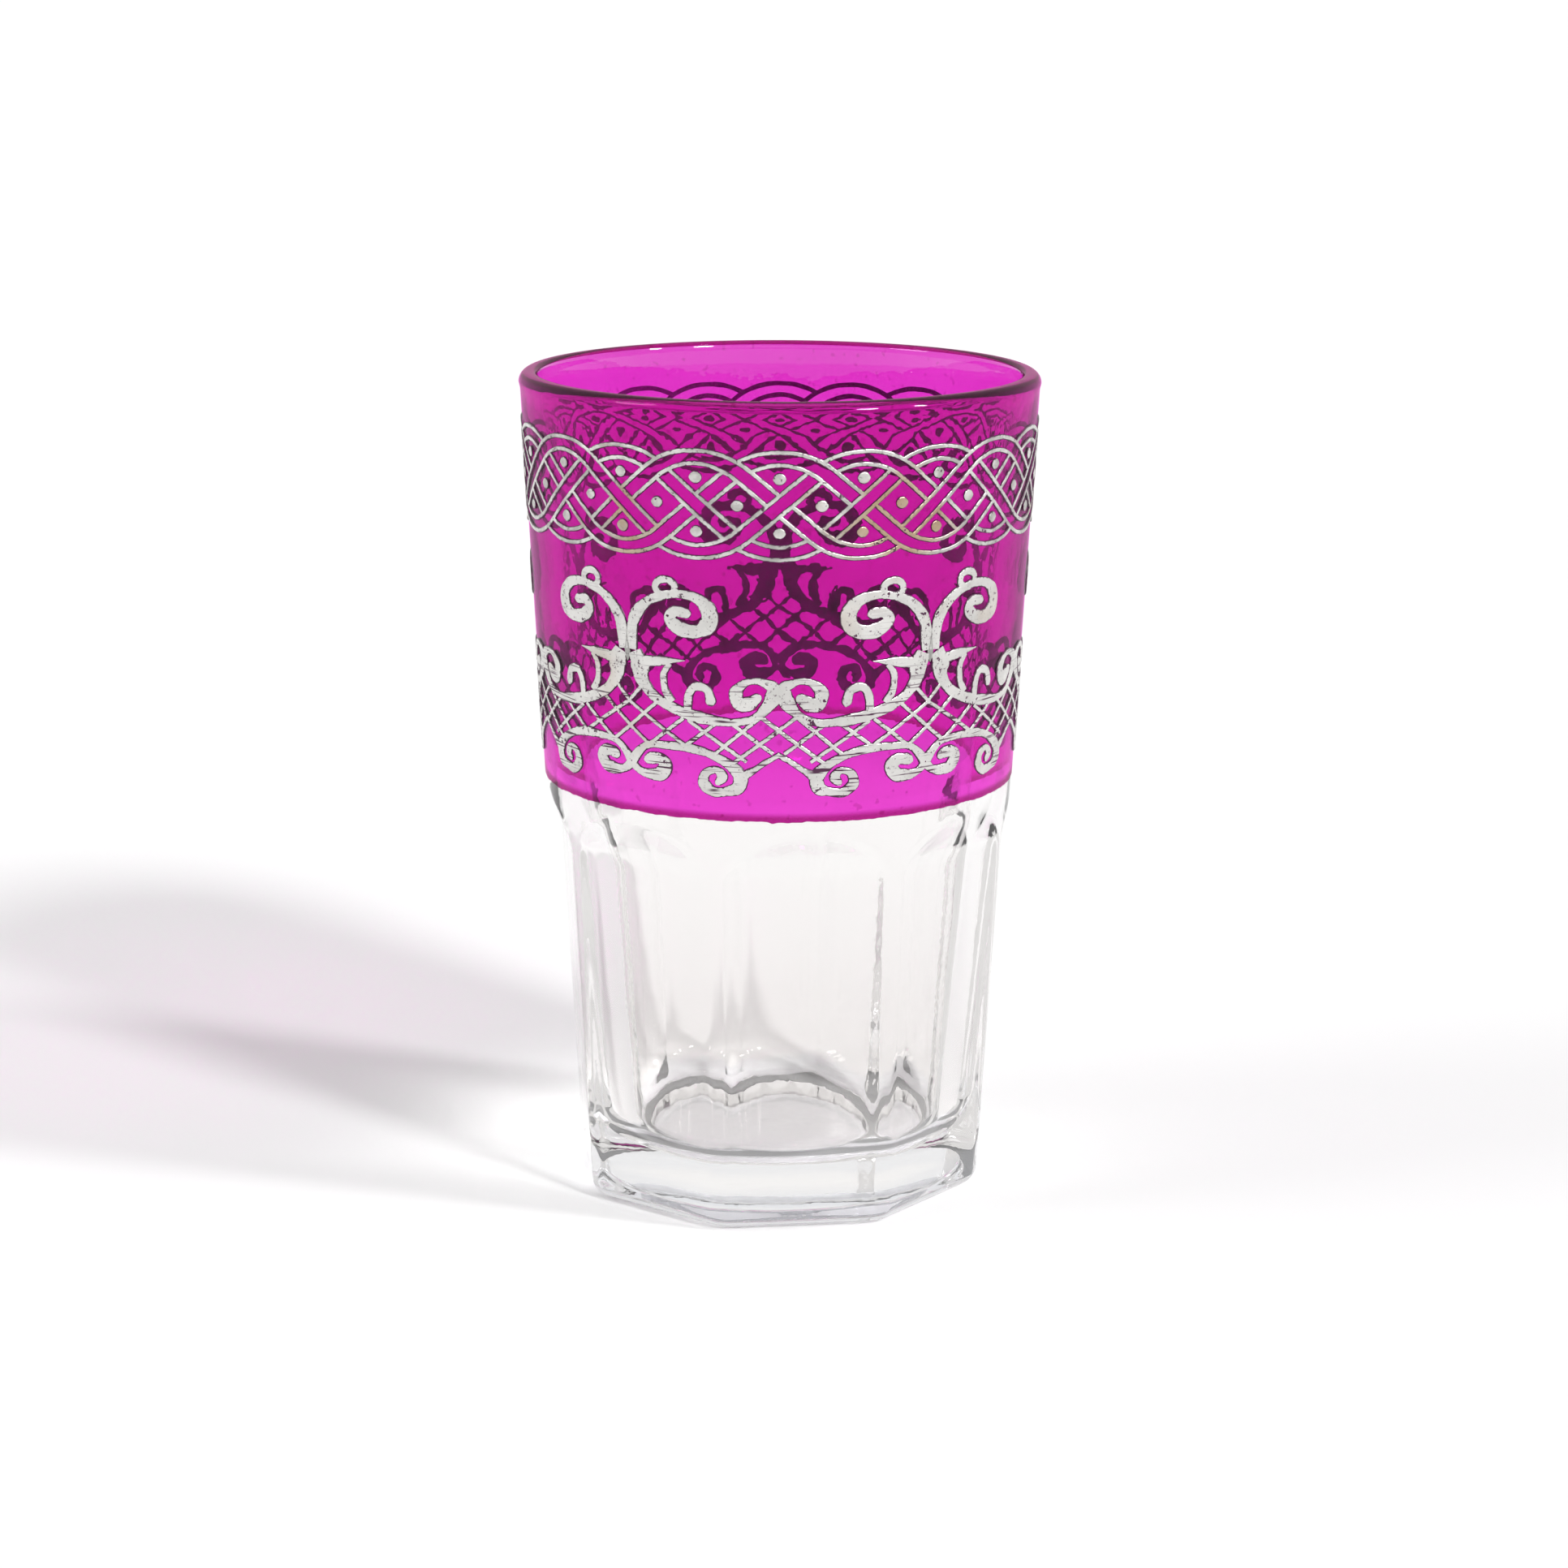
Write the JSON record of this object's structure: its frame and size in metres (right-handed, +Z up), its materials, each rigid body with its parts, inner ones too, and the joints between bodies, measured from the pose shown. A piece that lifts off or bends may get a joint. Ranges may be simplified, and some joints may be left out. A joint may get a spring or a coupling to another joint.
{
  "type": "tea glass",
  "caption": "Pressed clear tumbler, round above and arched flat panels below, with a transparent magenta coat and raised silver braid and scroll bands.",
  "frame": {"origin": "centre of the foot, on the table plane", "axes": "+Z up along the glass's axis, -Y towards the side that the picture shows, +X to the right of that side"},
  "size_m": [0.0702, 0.0702, 0.1125],
  "materials": {
    "clear_glass": "polished clear pressed glass",
    "magenta_coat": "thin transparent fired coat, glossy",
    "silver_relief": "raised silver lustre, worn and lightly scratched"
  },
  "bodies": {
    "root": {"glass_tumbler": "clear_glass", "magenta_coat": "magenta_coat", "silver_braid": "silver_relief", "silver_braid_dots": "silver_relief", "silver_scroll_frieze": "silver_relief"}
  },
  "joints": []
}
